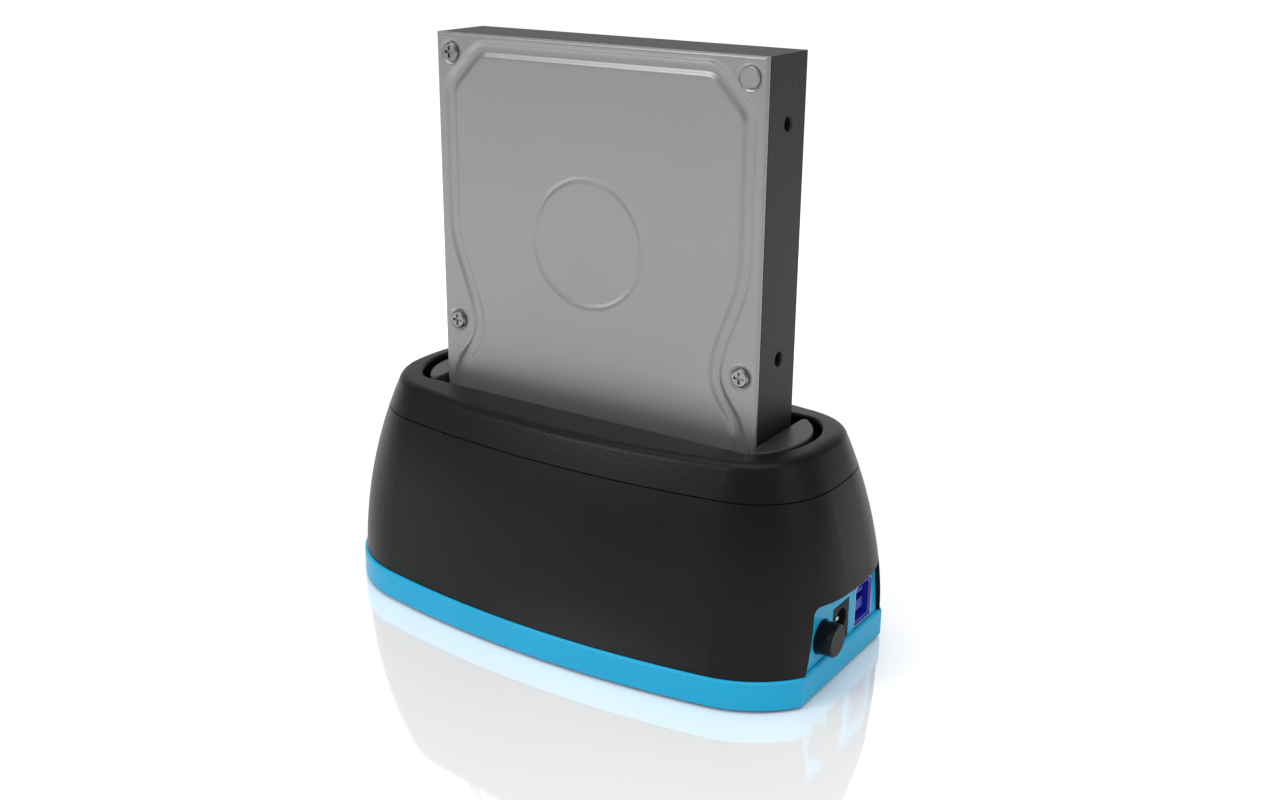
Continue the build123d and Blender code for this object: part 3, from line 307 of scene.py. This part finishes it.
# A mesh object from its points and faces, on its body; smooth says for each face
# whether it is shaded smooth
def newPiece(name, points, faces, smooth, body):
    mesh = bpy.data.meshes.new(name)
    mesh.from_pydata(points.tolist(), [], faces)
    mesh.polygons.foreach_set("use_smooth", smooth)
    piece = bpy.data.objects.new(name, mesh)
    bpy.context.scene.collection.objects.link(piece)
    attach(piece, body)
    return piece


# 0 below low, 1 above high, and t * t * (3 - 2 * t) between
def smoothStep(value, low, high):
    t = np.clip((value - low) / (high - low), 0, 1)
    return t * t * (3 - 2 * t)


# The stamped cover, in millimetres from the middle of its lower edge
stampedCover = {
    "columns": 250, "rows": 360,            # cells of the grid
    "beadWidth": 3.0, "beadDepth": 0.55, "shoulder": 0.75,
    "lip": 0.10, "lipWidth": 0.8,           # beside the bead
    "side": 46.4, "waist": 38.6,            # the bead from the middle, where it is wide and narrow
    "edge": 3.6, "cut": 9.9,                # the bead from the ends, and the size of its cut corners
    "waistLow": 53.0, "waistIn": 63.0, "waistOut": 71.0, "waistHigh": 92.0,    # its bends, upward
    "cornerReach": 2.6, "waistReach": 6.0, "mostOfRun": 0.46,    # how far its curves take up a run
    "ring": (-1.4, 95.0), "ringRadius": 17.1, "ringWidth": 0.55,
    "ringDepth": 0.22, "ringShoulder": 0.35,
    "seats": ((-46.0, 141.9), (46.0, 141.9), (-46.0, 67.2), (46.0, 67.2)),
    "seatRadius": 2.9, "seatDepth": 0.3, "seatShoulder": 0.35,    # round the screws
    "bevel": 0.45, "bevelShare": 1 / 3,     # one line of the grid lies at this share of the bevel
    "curvePoints": 9,                       # in each curve of the bead
}
millimetres = 1000


# The bead's closed line: straight runs, and at each corner B a curve
# P = (1 - t)^2 * A + 2 * t * (1 - t) * B + t^2 * C from a point A before it to a point C after it
def beadLine(values, height):
    side, waist, cut = values["side"], values["waist"], values["cut"]
    low, high = values["edge"], height - values["edge"]
    half = [(side - cut, low), (side, low + cut),
            (side, values["waistLow"]), (waist, values["waistIn"]),
            (waist, values["waistOut"]), (side, values["waistHigh"]),
            (side, high - cut), (side - cut, high)]
    corners = np.array(half + [(-x, z) for x, z in reversed(half)])
    ends, middle = [values["cornerReach"]] * 2, [values["waistReach"]] * 4
    reach = np.array((ends + middle + ends) * 2)[:, None]
    runs = (np.roll(corners, shift, axis=0) - corners for shift in (1, -1))
    before, after = (corners + along(run, reach, values["mostOfRun"]) for run in runs)
    t = np.linspace(0, 1, values["curvePoints"])[:, None, None]
    curved = (1 - t) ** 2 * before + 2 * t * (1 - t) * corners + t ** 2 * after
    return curved.transpose(1, 0, 2).reshape(-1, 2)


# The first part of each run, as long as reach but no more than a share of the run
def along(run, reach, share):
    length = np.hypot(run[:, 0], run[:, 1])[:, None]
    return run * np.minimum(reach / length, share)


# Distance from each grid point P to the nearest run of a closed line. Its share along a run from A,
# (P - A) . run / (run . run), is kept between 0 and 1, and the gap is measured from there.
def distanceTo(line, x, z):
    nearest = np.full(x.shape, np.inf)
    for start, end in zip(line, np.roll(line, -1, axis=0)):
        run = end - start
        share = ((x - start[0]) * run[0] + (z - start[1]) * run[1]) / (run @ run)
        share = np.clip(share, 0, 1)
        gap = np.hypot(x - start[0] - share * run[0], z - start[1] - share * run[1])
        nearest = np.minimum(nearest, gap)
    return nearest


# How far each grid point is pushed in. The bead, the ring and the screw seats each add
# depth * (1 - smoothStep of the distance), the lip takes its own height away in the same manner, which
# sharpens the bead's shoulders, and the bevel adds bevel * (1 - distance from the edge / bevel)^2.
def coverDepth(values, x, z, width, height):
    gap = distanceTo(beadLine(values, height), x, z)
    half, shoulder = values["beadWidth"] / 2, values["shoulder"]
    depth = values["beadDepth"] * (1 - smoothStep(gap, half - shoulder, half + shoulder))
    outside = np.abs(gap - half - shoulder - values["lipWidth"] / 2) / values["lipWidth"]
    depth -= values["lip"] * (1 - smoothStep(outside, 0, 1))
    ringX, ringZ = values["ring"]
    fromRing = np.abs(np.hypot(x - ringX, z - ringZ) - values["ringRadius"])
    fromRing -= values["ringWidth"] / 2
    depth += values["ringDepth"] * (1 - smoothStep(fromRing, 0, values["ringShoulder"]))
    for seatX, seatZ in values["seats"]:
        fromSeat = np.hypot(x - seatX, z - seatZ) - values["seatRadius"]
        depth += values["seatDepth"] * (1 - smoothStep(fromSeat, 0, values["seatShoulder"]))
    edge = np.minimum(width / 2 - np.abs(x), np.minimum(z, height - z))
    bevel = values["bevel"]
    return depth + bevel * (1 - np.clip(edge / bevel, 0, 1)) ** 2


# Lines across a length: one at each end, one within each bevel and the others evenly between them
def spread(length, count, values):
    bevel = values["bevel"]
    start = [0, bevel * values["bevelShare"]]
    inner = np.linspace(bevel, length - bevel, count + 1 - 2 * len(start))
    return np.concatenate((start, inner, [length - start[1], length]))


# A grid for the front, whose points lie at y = front of the box + depth and nowhere before the box,
# a skirt straight back from its rim and one flat face at the back
def makeCover(values):
    low, high = (np.array(corner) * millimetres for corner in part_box("drive_cover"))
    width, height = (high - low)[[0, 2]]
    across = spread(width, values["columns"], values) - width / 2
    upward = spread(height, values["rows"], values)
    x, z = np.meshgrid(across, upward)
    depth = coverDepth(values, x, z, width, height)
    middle = (low[0] + high[0]) / 2
    front = np.stack((x + middle, low[1] + np.maximum(depth, 0), z + low[2]), axis=-1)
    front = front.reshape(-1, 3)
    rows, columns = x.shape
    number = np.arange(rows * columns).reshape(rows, columns)
    quads = np.stack((number[:-1, :-1], number[:-1, 1:], number[1:, 1:], number[1:, :-1]), axis=-1)
    quads = quads.reshape(-1, 4)
    rim = np.concatenate((number[0, :-1], number[:-1, -1], number[-1, :0:-1], number[:0:-1, 0]))
    back = front[rim] * (1, 0, 1) + (0, high[1], 0)
    turned = len(front) + np.arange(len(rim))
    nextRim, nextTurned = np.roll(rim, -1), np.roll(turned, -1)
    skirt = np.stack((rim, turned, nextTurned, nextRim), axis=-1)
    faces = quads.tolist() + skirt.tolist() + [turned[::-1].tolist()]
    smooth = [True] * len(quads) + [False] * (len(skirt) + 1)
    points = np.concatenate((front, back)) / millimetres
    piece = newPiece("stampedCover", points, faces, smooth, "drive")
    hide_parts("drive_cover")
    return piece


coverPiece = makeCover(stampedCover)
print("cover made with", len(coverPiece.data.polygons), "faces")


# What each material is put on
finishes = (
    (plastic("shellBlack", shellPaint), ("lower_shell", "top_cover")),
    (plastic("baseBlue", basePaint), ("base_tray",)),
    (plastic("bayBlack", bayPaint), ("drive_bay",)),
    (plastic("buttonBlack", buttonPaint), ("power_button",)),
    (plastic("connectorBlack", connectorPaint), ("sata_receptacle", "drive_sata_plug",
                                                 "dc_jack_body", "capacitor_bases")),
    (plastic("usbBlue", usbPaint), ("usb_insulator",)),
    (plastic("switchGrey", switchPaint), ("switch_body", "button_stem")),
    (plastic("chipBlack", chipPaint), ("bridge_chip", "flash_chip", "regulator_chip",
                                       "power_inductors")),
    (plastic("footRubber", rubberPaint), ("rubber_feet", "drive_gasket")),
    (plastic("chipCeramic", ceramicPaint), ("chip_capacitors",)),
    (metal("driveCover", coverPaint), ("drive_cover", "drive_cover_plug")),
    (metal("driveCasting", castingPaint), ("drive_casting",)),
    (metal("motorCup", cupPaint), ("drive_motor_cup",)),
    (metal("screwSteel", screwPaint), ("board_screws", "base_screws", "bay_screws",
                                       "drive_cover_screws", "drive_board_screws")),
    (metal("platedSteel", platedPaint), ("usb_shield", "dc_jack_pin", "dc_jack_spring",
                                         "switch_terminals", "crystal_can")),
    (metal("contactGold", goldPaint), ("sata_contacts", "usb_contacts", "drive_sata_contacts")),
    (metal("leadTin", tinPaint), ("bridge_chip_leads", "flash_chip_leads", "regulator_leads")),
    (metal("canAluminium", canPaint), ("capacitor_cans",)),
    (boardMaterial(boardPaint), ("main_board", "drive_board")),
)
for material, names in finishes:
    for name in names:
        nodes[name].data.materials.clear()
        nodes[name].data.materials.append(material)
coverPiece.data.materials.append(nodes["drive_cover"].data.materials[0])
print("materials put on", sum(len(names) for material, names in finishes), "nodes")


# Floor, backdrop and light

# Distances in metres; the four brightnesses are shares of full white
studio = {
    "floorSize": 3.2,
    "floorColour": (0.99, 0.99, 0.99),
    "floorRoughness": 0.05,
    "mirrorShare": 0.4,
    "mirrorNear": 0.15, "mirrorFar": 0.34,    # the mirror fades out between these distances
    "background": 1.0,    # what the camera sees
    "fill": 1.0,          # what lights rough surfaces
    "front": 0.16,        # what shiny surfaces see in front
    "behind": 0.85,       # and behind the object
    "behindWay": (-0.55, 0.83, 0.0),
    "behindEdge": (0.45, 0.85),
    "lampTarget": (0, 0, 0.07),
}
lamps = {
    "overhead": {"place": (0.0, -0.15, 0.9), "size": (0.9, 0.5), "power": 3.0},
    "frontLeft": {"place": (-0.50, -0.95, 0.70), "size": (0.45, 0.4), "power": 5.2},
    "rightSide": {"place": (0.9, -0.1, 0.5), "size": (0.3, 0.6), "power": 1.0},
}


# A plain white floor mixed with a mirror, whose share falls to nothing away from the middle
def makeFloor(values):
    half = values["floorSize"] / 2
    mesh = bpy.data.meshes.new("floor")
    corners = [(-half, -half, 0), (half, -half, 0), (half, half, 0), (-half, half, 0)]
    mesh.from_pydata(corners, [], [(0, 1, 2, 3)])
    floor = bpy.data.objects.new("floor", mesh)
    bpy.context.scene.collection.objects.link(floor)
    material, shader, at = newMaterial("floor")
    feed(shader, at, Base_Color=opaque(values["floorColour"]), Roughness=1.0, Specular_IOR_Level=0.0)
    finish = {"Color": opaque((1, 1, 1)), "Roughness": values["floorRoughness"]}
    mirror = at.node("ShaderNodeBsdfGlossy", finish)
    plain = Flow(at.tree, shader.outputs[0])
    away = at.node("ShaderNodeVectorMath", {0: at}, output=1, operation="LENGTH")
    share = away.smoothly(values["mirrorNear"], values["mirrorFar"], values["mirrorShare"], 0.0)
    both = at.node("ShaderNodeMixShader", {0: share, 1: plain, 2: mirror})
    at.tree.links.new(both.socket, at.tree.nodes["Material Output"].inputs["Surface"])
    mesh.materials.append(material)


# The camera sees plain white, shiny surfaces see a white backdrop behind the object and a dim room
# in front, and everything else is lit by one even white:
# strength = fill + seen * (background - fill) + shiny * (reflected - fill)
def makeWorld(values):
    world = bpy.data.worlds.new("studio")
    bpy.context.scene.world = world
    world.use_nodes = True
    tree = world.node_tree
    path = tree.nodes.new("ShaderNodeLightPath")
    seen = Flow(tree, path.outputs["Is Camera Ray"])
    shiny = Flow(tree, path.outputs["Is Glossy Ray"])
    way = Flow(tree, tree.nodes.new("ShaderNodeTexCoord").outputs["Generated"])
    toward = way.node("ShaderNodeVectorMath", {0: way, 1: values["behindWay"]}, output=1,
                      operation="DOT_PRODUCT")
    low, high = values["behindEdge"]
    reflected = toward.smoothly(low, high, values["front"], values["behind"])
    fill = values["fill"]
    strength = seen * (values["background"] - fill) + shiny * (reflected - fill) + fill
    tree.nodes["Background"].inputs["Color"].default_value = opaque((1, 1, 1))
    tree.links.new(strength.socket, tree.nodes["Background"].inputs["Strength"])


# A rectangle of light that faces the target
def makeLamp(name, values):
    data = bpy.data.lights.new(name, "AREA")
    data.shape = "RECTANGLE"
    data.size, data.size_y = values["size"]
    data.energy = values["power"]
    lamp = bpy.data.objects.new(name, data)
    bpy.context.scene.collection.objects.link(lamp)
    lamp.location = values["place"]
    way = Vector(studio["lampTarget"]) - lamp.location
    lamp.rotation_euler = way.to_track_quat("-Z", "Y").to_euler()


makeFloor(studio)
makeWorld(studio)
for name, values in lamps.items():
    makeLamp(name, values)
print("studio made")
